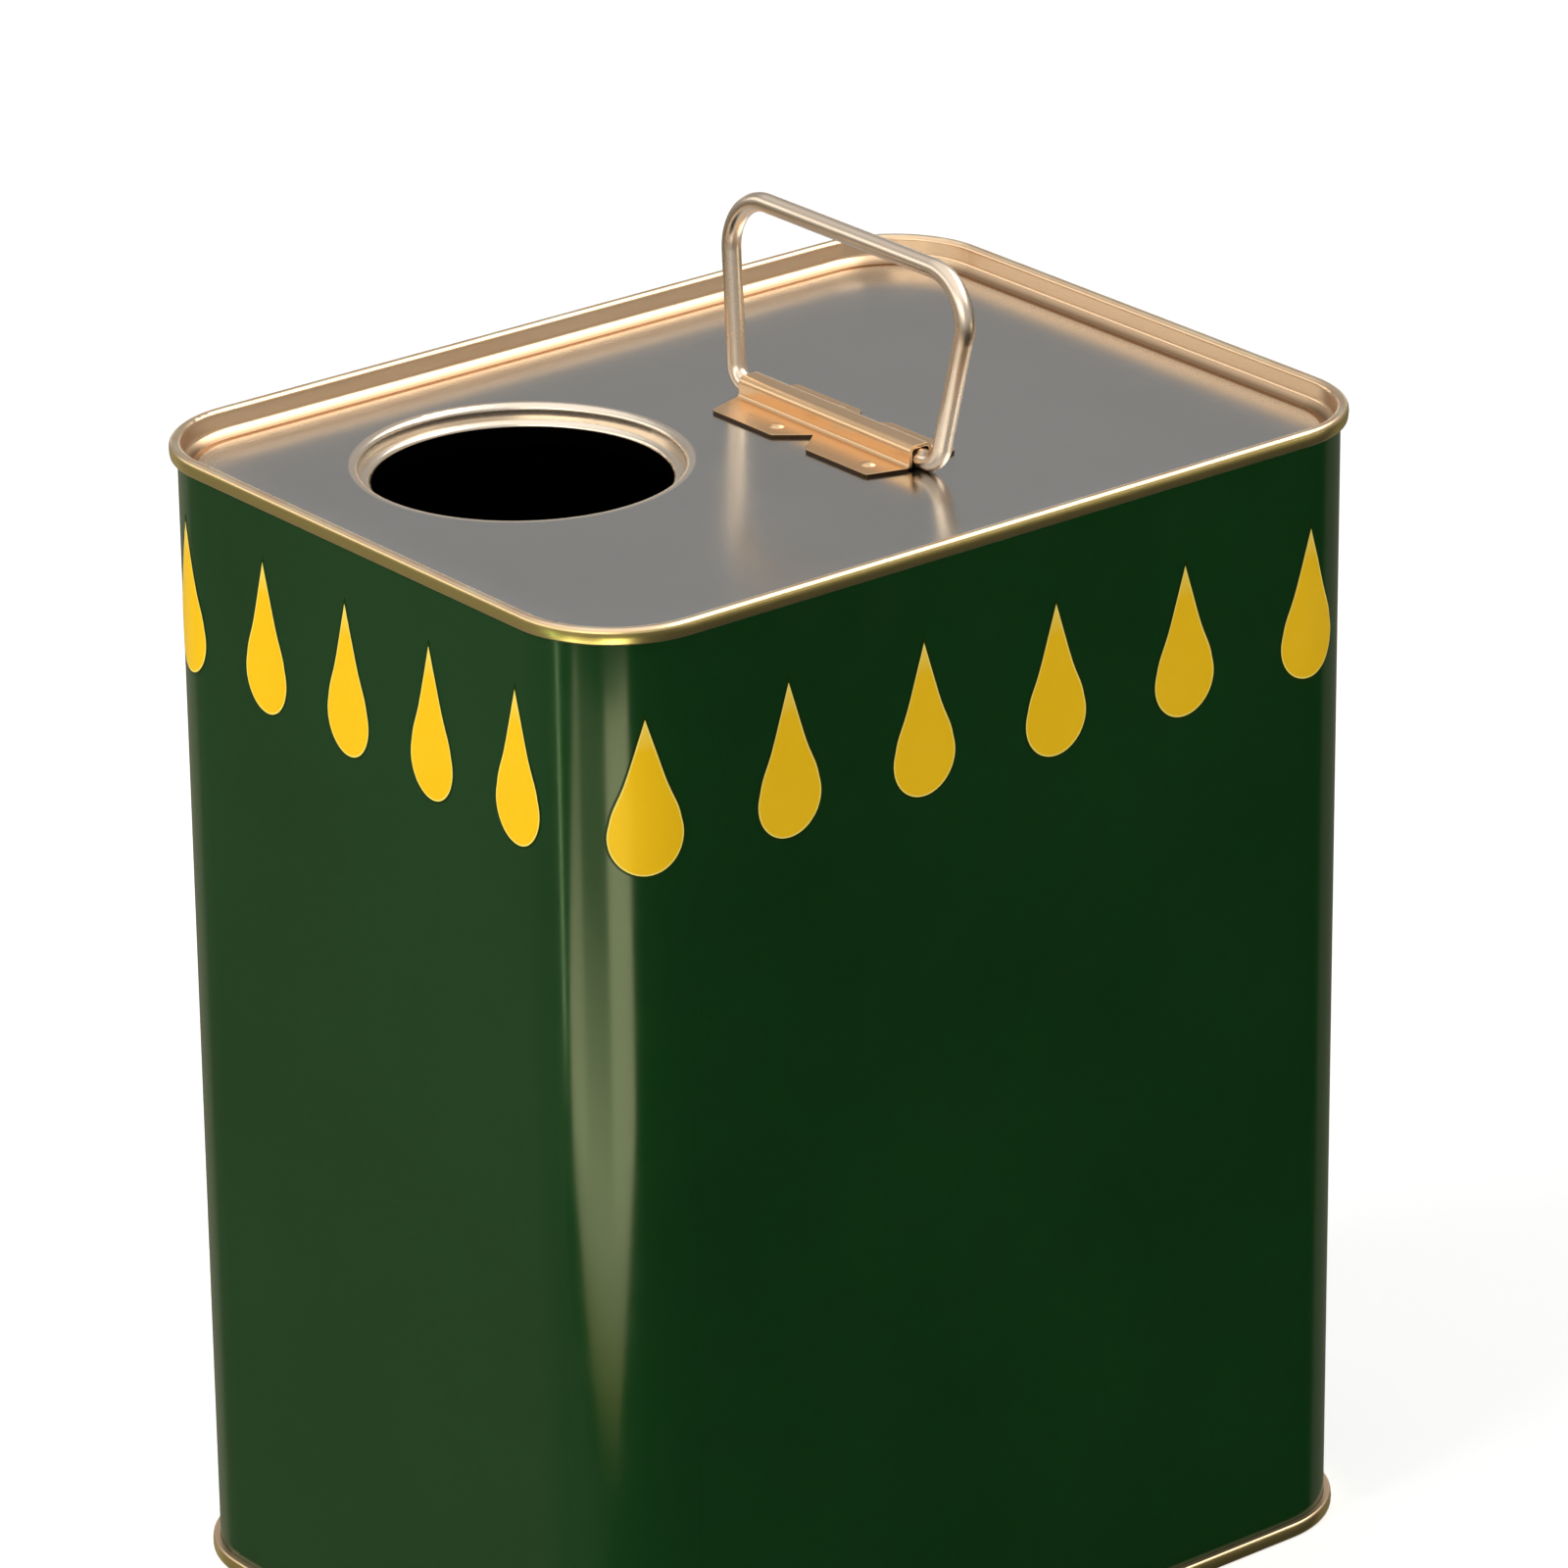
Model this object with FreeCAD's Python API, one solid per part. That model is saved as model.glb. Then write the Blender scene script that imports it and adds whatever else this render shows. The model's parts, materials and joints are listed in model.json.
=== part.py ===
import FreeCAD, Part
import math
import os

# A rectangular oil tin: a welded tube of tinplate closed by two double-seamed ends, with a drawn
# pour opening in the top panel and a wire handle that turns in a welded channel.
# Millimetres, +Z up, origin in the middle of the footprint.

# Body, over the outer face of the sheet
body_width = 139.0
body_depth = 104.5
tin_height = 172.0
corner_radius = 15.0
body_sheet = 0.28
weld_lap = 0.9
weld_ridge = 0.10

# Ends and the double seam that folds each one round the body's edge
end_sheet = 0.30
seam_height = 2.3
seam_bulge = 0.16
bulge_bend = 4.0
layer_gap = 0.04
flange_bend = 0.10
fold_bend = 0.05
hook_pocket = 0.26
bead_gap = 0.01

# Countersink from the seam's crown down to the panel
shoulder_depth = 2.8
shoulder_bend = 0.8
panel_depth = 3.9
panel_slope = 1.25
panel_bend = 0.3
panel_margin = 1.5
base_step_inset = 7.0
base_step_run = 1.0
base_step_rise = 0.9

# Pour opening, drawn down from the panel in two steps
pour_radius = 21.0
pour_from_side = 40.4
pour_from_back = 35.6
pour_ledge = 1.7
pour_ledge_drop = 1.9
pour_depth = 4.9
pour_hem = 1.0
lip_bend = 0.70
lip_margin = 0.6

# Handle bracket
bracket_sheet = 0.5
bracket_length = 37.7
bracket_reach = 8.3
bracket_far_reach = 7.6
bracket_bend = 0.6
flange_slant = 1.8
flange_corner = 0.7
notch_half_width = 3.8
notch_land = 1.2
weld_spacing = 20.1
weld_off_centre = -4.0
weld_nub_radius = 1.2
weld_nub_height = 0.4

# Wire handle, standing a little off upright
wire_diameter = 2.8
foot_clearance = 0.10
handle_from_pour = 40.2
handle_off_centre = -3.0
handle_side_play = 0.55
handle_height = 27.1
handle_shoulder = 3.35
handle_flare = 4.7
handle_lean = 5.5
foot_length = 8.6
foot_corner = 3.0
grip_corner = 7.3

half_width = body_width / 2
half_depth = body_depth / 2
panel_top = tin_height - panel_depth
pour_x = -half_width + pour_from_side
pour_y = half_depth - pour_from_back
hinge_x = pour_x + handle_from_pour
hinge_z = panel_top + foot_clearance + wire_diameter / 2

# Seam layers, as distances out from the body's outer face to the middle of each sheet
chuck_wall = -body_sheet - layer_gap - end_sheet / 2
cover_hook = layer_gap + end_sheet / 2
body_hook = 2 * layer_gap + end_sheet + body_sheet / 2
seam_wall = 3 * layer_gap + end_sheet + body_sheet + end_sheet / 2
crown_under = tin_height - end_sheet - layer_gap
fold_floor = tin_height - seam_height + end_sheet
body_hook_tip = fold_floor + hook_pocket
cover_hook_tip = crown_under - body_sheet - hook_pocket
# The end's bends run one layer gap outside the body's
crown_bend = flange_bend + body_sheet + layer_gap

up = FreeCAD.Vector(0, 0, 1)
origin = FreeCAD.Vector(0, 0, 0)
square = None
# Share of a straight leg that the bend at one of its ends may use up
leg_share = 0.49


def point(across, height):
    return FreeCAD.Vector(across, 0, height)


def heading(start, end):
    return (end - start).normalize()


def left_of(direction):
    return FreeCAD.Vector(-direction.z, 0, direction.x)


# Lines and arcs of a bent line in the XZ plane, moved sideways by shift.
# Each bend is a radius on the line itself, no larger than its two legs leave room for, or square.
def bent_edges(corners, bends, shift):
    edges = []
    here = corners[0] + left_of(heading(corners[0], corners[1])) * shift
    for before, corner, after, bend in zip(corners, corners[1:], corners[2:], bends):
        come = heading(before, corner)
        go = heading(corner, after)
        turn = math.atan2(left_of(come).dot(go), come.dot(go))
        if bend is square:
            mitre = corner + (left_of(come) - come * math.tan(turn / 2)) * shift
            edges.append(Part.LineSegment(here, mitre).toShape())
            here = mitre
            continue
        room = leg_share * min(before.distanceToPoint(corner), corner.distanceToPoint(after))
        setback = min(bend * math.tan(abs(turn) / 2), room)
        radius = math.copysign(setback / math.tan(abs(turn) / 2), turn)
        start = corner - come * setback
        centre = start + left_of(come) * radius
        middle = heading(centre, corner) * abs(radius)
        scale = 1 - shift / radius
        arc_start = start + left_of(come) * shift
        arc_end = corner + go * setback + left_of(go) * shift
        edges.append(Part.LineSegment(here, arc_start).toShape())
        edges.append(Part.Arc(arc_start, centre + middle * scale, arc_end).toShape())
        here = arc_end
    finish = corners[-1] + left_of(heading(corners[-2], corners[-1])) * shift
    edges.append(Part.LineSegment(here, finish).toShape())
    return edges


# Section through a bent sheet, as a face in the XZ plane
def sheet_section(corners, inner_bends, sheet):
    bends = [square if inner is square else inner + sheet / 2 for inner in inner_bends]
    one_side = bent_edges(corners, bends, sheet / 2)
    other_side = bent_edges(corners, bends, -sheet / 2)
    starts = [side[0].Vertexes[0].Point for side in (one_side, other_side)]
    ends = [side[-1].Vertexes[-1].Point for side in (one_side, other_side)]
    caps = [Part.LineSegment(*starts).toShape(), Part.LineSegment(*ends).toShape()]
    outline = Part.Wire(Part.__sortEdges__(one_side + other_side + caps))
    return Part.Face(outline)


def joined(shapes):
    return shapes[0].multiFuse(shapes[1:]).removeSplitter()


# Carries a section, drawn outwards from the body's face, round the four sides and corners
def carried_round(section):
    spans = []
    for quarter in range(4):
        reach, run = (half_width, half_depth) if quarter % 2 == 0 else (half_depth, half_width)
        run -= corner_radius
        side = section.translated(FreeCAD.Vector(reach, -run, 0)).extrude(FreeCAD.Vector(0, 2 * run, 0))
        corner_centre = FreeCAD.Vector(reach - corner_radius, run, 0)
        corner = section.translated(FreeCAD.Vector(reach, run, 0)).revolve(corner_centre, up, 90)
        spans += [shape.rotated(origin, up, 90 * quarter) for shape in (side, corner)]
    return joined(spans)


# Flat sheet inside the rounded rectangle that lies inset from the body's face
def flat_panel(inset, top, sheet, holes=()):
    long, short = half_width - inset, half_depth - inset
    block = Part.makeBox(2 * long, 2 * short, sheet, FreeCAD.Vector(-long, -short, top - sheet))
    uprights = [edge for edge in block.Edges if edge.Vertexes[0].Z != edge.Vertexes[1].Z]
    panel = block.makeFillet(corner_radius - inset, uprights)
    for hole in holes:
        panel = panel.cut(hole)
    return panel


def mirrored_to_base(shape):
    return shape.mirror(FreeCAD.Vector(0, 0, tin_height / 2), up)


# Body sheet: a tube whose two edges are flanged outwards and turned back as hooks
def body_shell():
    wall = -body_sheet / 2
    flange = crown_under - body_sheet / 2
    upper = [(wall, flange), (body_hook, flange), (body_hook, body_hook_tip)]
    lower = [(across, tin_height - height) for across, height in reversed(upper)]
    corners = [point(*corner) for corner in lower + upper]
    tube = carried_round(sheet_section(corners, [flange_bend] * 4, body_sheet))
    weld_height = tin_height - 2 * seam_height
    weld_corner = FreeCAD.Vector(half_width + wall, -weld_lap / 2, seam_height)
    weld = Part.makeBox(weld_ridge - wall, weld_lap, weld_height, weld_corner)
    return tube.fuse(weld).removeSplitter()


# The end's section from the tip of its cover hook, round the seam and down the countersink
def end_corners():
    crown = tin_height - end_sheet / 2
    fold = tin_height - seam_height + end_sheet / 2
    shoulder = tin_height - shoulder_depth
    return [
        point(cover_hook, cover_hook_tip),
        point(cover_hook, fold),
        point(seam_wall, fold),
        point(seam_wall + seam_bulge, (fold + crown) / 2),
        point(seam_wall, crown),
        point(chuck_wall, crown),
        point(chuck_wall, shoulder),
        point(chuck_wall - panel_slope, panel_top - end_sheet / 2),
    ]


seam_bends = [square, fold_bend, bulge_bend, crown_bend, crown_bend, shoulder_bend, panel_bend]


# Rim of the pour opening: panel, first step, ledge, bore wall and the hem turned out under it
def pour_rim():
    bore = pour_radius + end_sheet / 2
    step = bore + pour_ledge
    flat = panel_top - end_sheet / 2
    ledge = flat - pour_ledge_drop
    hem = flat - pour_depth
    corners = [
        point(pour_lip(), flat),
        point(step, flat),
        point(step, ledge),
        point(bore, ledge),
        point(bore, hem),
        point(bore + pour_hem, hem),
    ]
    rim = sheet_section(corners, [lip_bend, square, lip_bend, square], end_sheet)
    return rim.revolve(origin, up, 360).translated(FreeCAD.Vector(pour_x, pour_y, 0))


# Radius where the rim leaves the flat panel
def pour_lip():
    return pour_radius + pour_ledge + end_sheet + lip_bend + lip_margin


def top_end():
    corners = end_corners()
    foot = corners[-1]
    corners.append(foot - FreeCAD.Vector(panel_margin, 0, 0))
    ring = carried_round(sheet_section(corners, seam_bends, end_sheet))
    opening_centre = FreeCAD.Vector(pour_x, pour_y, panel_top - end_sheet)
    opening = Part.makeCylinder(pour_lip(), end_sheet, opening_centre)
    panel = flat_panel(panel_margin - foot.x, panel_top, end_sheet, [opening])
    return joined([ring, panel, pour_rim()])


# The base end is the same pressing with no opening and one step that stiffens its panel
def bottom_end():
    corners = end_corners()
    foot = corners[-1]
    edge = foot - FreeCAD.Vector(base_step_inset, 0, 0)
    step = edge - FreeCAD.Vector(base_step_run, 0, base_step_rise)
    inner = step - FreeCAD.Vector(panel_margin, 0, 0)
    bends = seam_bends + [square] * 2
    ring = carried_round(sheet_section(corners + [edge, step, inner], bends, end_sheet))
    panel = flat_panel(-inner.x, inner.z + end_sheet / 2, end_sheet)
    return mirrored_to_base(joined([ring, panel]))


# Sealing compound: a bead under the body hook's tip and one over the cover hook's tip
def seam_compound():
    beads = [
        (body_hook, body_sheet, fold_floor + fold_bend, body_hook_tip),
        (cover_hook, end_sheet, cover_hook_tip, crown_under - body_sheet - flange_bend),
    ]
    rings = []
    for across, width, low, high in beads:
        middle = [point(across, low + bead_gap), point(across, high - bead_gap)]
        rings.append(carried_round(sheet_section(middle, [], width)))
    return Part.makeCompound(rings)


# Channel over the wire's feet, with a notched flange on each side
def handle_bracket():
    wall = wire_diameter / 2 + foot_clearance + bracket_sheet / 2
    flange = bracket_sheet / 2
    crown = wire_diameter + 2 * foot_clearance + bracket_sheet / 2
    corners = [
        point(-bracket_reach, flange),
        point(-wall, flange),
        point(-wall, crown),
        point(wall, crown),
        point(wall, flange),
        point(bracket_far_reach, flange),
    ]
    section = sheet_section(corners, [bracket_bend] * 4, bracket_sheet)
    half_length = bracket_length / 2
    end_section = section.translated(FreeCAD.Vector(0, -half_length, 0))
    channel = end_section.extrude(FreeCAD.Vector(0, bracket_length, 0))
    root = wall + bracket_sheet / 2 + bracket_bend
    notch_tip = root + notch_land
    cuts = [wedge(notch_tip, 0, bracket_reach, -notch_half_width, bracket_reach, notch_half_width)]
    nubs = []
    for side in (1, -1):
        end = side * half_length
        cuts.append(wedge(root, end, bracket_reach, end - side * flange_slant, bracket_reach, end))
        nubs.append(weld_nub((root + bracket_reach) / 2, weld_off_centre + side * weld_spacing / 2))
    for cut in cuts + mirrored_across(cuts):
        channel = channel.cut(cut)
    outer_corners = [edge for edge in channel.Edges if is_flange_corner(edge)]
    channel = channel.makeFillet(flange_corner, outer_corners)
    bracket = joined([channel] + nubs + mirrored_across(nubs))
    return bracket.translated(FreeCAD.Vector(hinge_x, handle_off_centre + handle_side_play, panel_top))


# Upright edge at a flange's outer border
def is_flange_corner(edge):
    box = edge.BoundBox
    upright = box.ZLength > box.XLength + box.YLength
    return upright and abs(box.Center.x) > bracket_far_reach - flange_corner


def mirrored_across(shapes):
    return [shape.mirror(origin, FreeCAD.Vector(1, 0, 0)) for shape in shapes]


# Three-cornered prism through a flange, from its plan corners
def wedge(x1, y1, x2, y2, x3, y3):
    overshoot = bracket_sheet
    plan = [(x1, y1), (x2, y2), (x3, y3), (x1, y1)]
    outline = Part.makePolygon([FreeCAD.Vector(x, y, -overshoot) for x, y in plan])
    return Part.Face(outline).extrude(up * (bracket_sheet + 2 * overshoot))


# Low dome pressed up by a projection weld, rooted in the middle of the sheet
def weld_nub(x, y):
    ball_radius = (weld_nub_radius ** 2 + weld_nub_height ** 2) / (2 * weld_nub_height)
    root = FreeCAD.Vector(x, y, bracket_sheet / 2)
    crest = bracket_sheet + weld_nub_height
    ball = Part.makeSphere(ball_radius, FreeCAD.Vector(x, y, crest - ball_radius))
    return ball.common(Part.makeCylinder(weld_nub_radius, crest, root))


# Bent wire: two feet in the channel, two legs that lean out and a straight grip
def wire_handle():
    foot = bracket_length / 2 + handle_shoulder
    grip = foot + handle_flare
    half = [(foot - foot_length, 0), (foot, 0), (grip, handle_height)]
    corners = [point(across, height) for across, height in half]
    corners += [point(-across, height) for across, height in reversed(half)]
    bends = [foot_corner, grip_corner, grip_corner, foot_corner]
    path = Part.Wire(bent_edges(corners, bends, 0))
    start = corners[0]
    ring = Part.Wire(Part.makeCircle(wire_diameter / 2, start, heading(start, corners[1])))
    wire = path.makePipeShell([ring], True, False)
    upright = wire.rotated(origin, up, 90)
    leaning = upright.rotated(origin, FreeCAD.Vector(0, 1, 0), handle_lean)
    return leaning.translated(FreeCAD.Vector(hinge_x, handle_off_centre, hinge_z))


pieces = {
    "body_shell": body_shell(),
    "top_end": top_end(),
    "bottom_end": bottom_end(),
    "top_seam_compound": seam_compound(),
    "bottom_seam_compound": mirrored_to_base(seam_compound()),
    "handle_bracket": handle_bracket(),
    "wire_handle": wire_handle(),
}

os.makedirs("parts", exist_ok=True)
for name, shape in pieces.items():
    box = shape.BoundBox
    print(name, len(shape.Solids), "solids, valid", shape.isValid(), "volume", round(shape.Volume, 1),
          "size", [round(side, 2) for side in (box.XLength, box.YLength, box.ZLength)])
    shape.exportStep("parts/" + name + ".step")
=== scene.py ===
import json
import math

import bpy
from mathutils import Matrix, Vector

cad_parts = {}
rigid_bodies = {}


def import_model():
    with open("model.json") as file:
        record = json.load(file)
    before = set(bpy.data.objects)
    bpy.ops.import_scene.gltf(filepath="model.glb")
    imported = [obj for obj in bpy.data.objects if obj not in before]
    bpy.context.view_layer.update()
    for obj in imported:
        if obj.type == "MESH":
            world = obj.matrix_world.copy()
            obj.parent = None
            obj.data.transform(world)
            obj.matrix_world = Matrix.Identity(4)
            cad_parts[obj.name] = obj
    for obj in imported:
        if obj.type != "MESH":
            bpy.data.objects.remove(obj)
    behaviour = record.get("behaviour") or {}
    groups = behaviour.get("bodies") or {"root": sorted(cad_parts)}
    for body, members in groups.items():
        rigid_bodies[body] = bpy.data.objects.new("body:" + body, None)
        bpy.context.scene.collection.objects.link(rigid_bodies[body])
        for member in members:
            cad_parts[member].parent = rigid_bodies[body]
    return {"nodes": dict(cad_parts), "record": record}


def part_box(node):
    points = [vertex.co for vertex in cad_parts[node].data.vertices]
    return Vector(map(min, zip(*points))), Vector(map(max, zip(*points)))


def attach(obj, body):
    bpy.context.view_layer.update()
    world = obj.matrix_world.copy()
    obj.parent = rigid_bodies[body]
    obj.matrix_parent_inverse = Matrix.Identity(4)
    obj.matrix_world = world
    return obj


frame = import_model()
for spare in [thing for thing in bpy.data.objects if thing.name in ("Cube", "Light", "Camera")]:
    bpy.data.objects.remove(spare)      # Blender's own start-up objects
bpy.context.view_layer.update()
nodes = frame["nodes"]
mm = 0.001
noiseMiddle = (0.3, 0.7)                # where most of a noise pattern's values lie

# the tin's own sizes, read off the frame where it gives them
seamReach = 1.116 * mm                  # how far the double seam stands out from the body's face
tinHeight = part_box("top_end")[1].z
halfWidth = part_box("top_end")[1].x - seamReach
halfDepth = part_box("top_end")[1].y - seamReach
cornerRadius = 15.0 * mm
nearCorner = Vector((cornerRadius - halfWidth, cornerRadius - halfDepth, 0))    # the middle of its bend
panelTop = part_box("handle_bracket")[0].z
pour = Vector(frame["record"]["mounts"][0]["pos_m"])


def linear(code):                       # sRGB hex to linear RGBA
    channels = [int(code[at:at + 2], 16) / 255 for at in (0, 2, 4)]
    return (*[c / 12.92 if c <= 0.04045 else ((c + 0.055) / 1.055) ** 2.4 for c in channels], 1)


def addNode(tree, kind, inputs=None, **settings):
    node = tree.nodes.new(kind)
    for name, value in settings.items():
        setattr(node, name, value)
    for key, value in (inputs or {}).items():
        if isinstance(value, bpy.types.NodeSocket):
            tree.links.new(value, node.inputs[key])
        else:
            node.inputs[key].default_value = value
    return node


def newMaterial(name):                  # empty tree with a shader wired to the output
    material = bpy.data.materials.new(name)
    material.use_nodes = True
    tree = material.node_tree
    tree.nodes.clear()
    shader = addNode(tree, "ShaderNodeBsdfPrincipled")
    addNode(tree, "ShaderNodeOutputMaterial", {"Surface": shader.outputs[0]})
    place = addNode(tree, "ShaderNodeTexCoord")
    return material, tree, shader, place


def feed(tree, shader, sockets):
    for name, socket in sockets.items():
        tree.links.new(socket, shader.inputs[name])


def blendColours(tree, share, first, second):
    mix = addNode(tree, "ShaderNodeMix", {0: share, 6: first, 7: second}, data_type="RGBA")
    return mix.outputs[2]


def blendValues(tree, share, first, second):
    return addNode(tree, "ShaderNodeMix", {0: share, 2: first, 3: second}).outputs[0]


def between(tree, value, low, high, toLow=0.0, toHigh=1.0):
    spans = {"Value": value, "From Min": low, "From Max": high, "To Min": toLow, "To Max": toHigh}
    return addNode(tree, "ShaderNodeMapRange", spans).outputs[0]


def combine(tree, operation, first, second=0.0):
    return addNode(tree, "ShaderNodeMath", {0: first, 1: second}, operation=operation).outputs[0]


def mottle(tree, place, size, detail=2.0, stretch=(1, 1, 1)):
    # noise whose blotches are about size metres across, longer along an axis that stretch divides
    spread = addNode(tree, "ShaderNodeMapping", {"Vector": place, "Scale": stretch})
    noise = {"Vector": spread.outputs[0], "Scale": 1 / size, "Detail": detail}
    return addNode(tree, "ShaderNodeTexNoise", noise).outputs[0]


def outFromBody(tree, place):
    # metres out from the body's face, negative inside the rounded rectangle
    core = (halfWidth - cornerRadius, halfDepth - cornerRadius, tinHeight)
    folded = addNode(tree, "ShaderNodeVectorMath", {0: place}, operation="ABSOLUTE")
    past = addNode(tree, "ShaderNodeVectorMath", {0: folded.outputs[0], 1: core}, operation="SUBTRACT")
    corner = addNode(tree, "ShaderNodeVectorMath", {0: past.outputs[0], 1: (0, 0, 0)}, operation="MAXIMUM")
    reach = addNode(tree, "ShaderNodeVectorMath", {0: corner.outputs[0]}, operation="LENGTH")
    flat = addNode(tree, "ShaderNodeSeparateXYZ", {0: past.outputs[0]})
    deepest = combine(tree, "MAXIMUM", flat.outputs[0], flat.outputs[1])
    inner = combine(tree, "MINIMUM", deepest, 0.0)
    return combine(tree, "SUBTRACT", combine(tree, "ADD", reach.outputs["Value"], inner), cornerRadius)


# Stoved green enamel, roller coated on tinplate and varnished: deep colour, a soft-edged gloss
# with a faint orange peel, bare metal beside the weld and a dark phenolic lacquer inside
enamel = dict(deep="0F3313", light="113B16", bare="C9C3B6", bareMetal=0.55, bareRoughness=0.45,
              inside="2A1D0C", weldMargin=4.2 * mm, marginEdge=0.1 * mm, toneSize=40 * mm, smudge=9 * mm,
              roughness=(0.13, 0.18), peelSize=0.9 * mm, peelDepth=0.004 * mm, peelShare=0.35,
              waveSize=55 * mm, waveDepth=0.12 * mm, ior=1.5)


def greenEnamel():
    material, tree, shader, place = newMaterial("stovedGreenEnamel")
    spot = place.outputs["Object"]
    tone = mottle(tree, spot, enamel["toneSize"])
    green = blendColours(tree, tone, linear(enamel["deep"]), linear(enamel["light"]))
    flat = addNode(tree, "ShaderNodeSeparateXYZ", {0: spot})
    aside = combine(tree, "ABSOLUTE", flat.outputs[1])
    margin = between(tree, aside, enamel["weldMargin"], enamel["weldMargin"] - enamel["marginEdge"])
    margin = combine(tree, "MULTIPLY", margin, between(tree, flat.outputs[0], 0.0, 1 * mm))
    facing = {0: spot, 1: place.outputs["Normal"]}
    outward = addNode(tree, "ShaderNodeVectorMath", facing, operation="DOT_PRODUCT").outputs["Value"]
    inside = combine(tree, "LESS_THAN", outward, 0.0)
    bare = combine(tree, "MAXIMUM", combine(tree, "MULTIPLY", margin, enamel["bareMetal"]), inside)
    outer = blendColours(tree, margin, green, linear(enamel["bare"]))
    colour = blendColours(tree, inside, outer, linear(enamel["inside"]))
    smudge = mottle(tree, spot, enamel["smudge"], 4.0)
    gloss = between(tree, smudge, *noiseMiddle, *enamel["roughness"])
    gloss = blendValues(tree, margin, gloss, enamel["bareRoughness"])
    peel = addNode(tree, "ShaderNodeBump", {
        "Height": mottle(tree, spot, enamel["peelSize"]),
        "Strength": enamel["peelShare"], "Distance": enamel["peelDepth"]})
    wave = addNode(tree, "ShaderNodeBump", {
        "Height": mottle(tree, spot, enamel["waveSize"], 0.0),
        "Strength": 1.0, "Distance": enamel["waveDepth"], "Normal": peel.outputs[0]})
    feed(tree, shader, {
        "Base Color": colour, "Metallic": bare, "Roughness": gloss, "Normal": wave.outputs[0]})
    shader.inputs["IOR"].default_value = enamel["ior"]
    return material


# Electrolytic tinplate, stone finish, with gold lacquer on the seam and countersink: a grey satin
# panel with fine rolling grain, duller where it was drawn, and a warm rim rubbed pale along its crown,
# with a brown line of painted shade at the foot of the countersink wall
tinplate = dict(panel="CBC9C5", panelDull="C3C1BD", blotch=18 * mm, grainWidth=0.35 * mm, grainLength=14 * mm,
                grainDepth=0.003 * mm, grainShare=0.12, panelRoughness=(0.17, 0.21),
                drawn=(-11 * mm, -4 * mm), drawnRoughness=0.08, levelFrom=0.9998)
tinplate["lacquer"] = dict(inner="E6C49F", outer="E0CC7E", pale="F2E2BE", footShade="6E4F32", inset=2.7 * mm,
                           edge=0.08 * mm, outerFrom=(0.85 * mm, 1.15 * mm), crown=0.25 * mm, rubbing=6 * mm,
                           rubbed=(0.35, 0.7), foot=(0.8 * mm, 0.2 * mm), footShadeShare=0.75, roughness=0.28,
                           metal=0.93)
# the pour rim's inside colour is near-black painted shade for the bore and the faces that look into the tin
tinplate["pourRim"] = dict(colour="EEDFCB", radius=24.2 * mm, edge=0.3 * mm, roughness=0.27, metal=0.93,
                           inside="120C06", boreTop=2.6 * mm, boreEdge=0.1 * mm)


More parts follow.
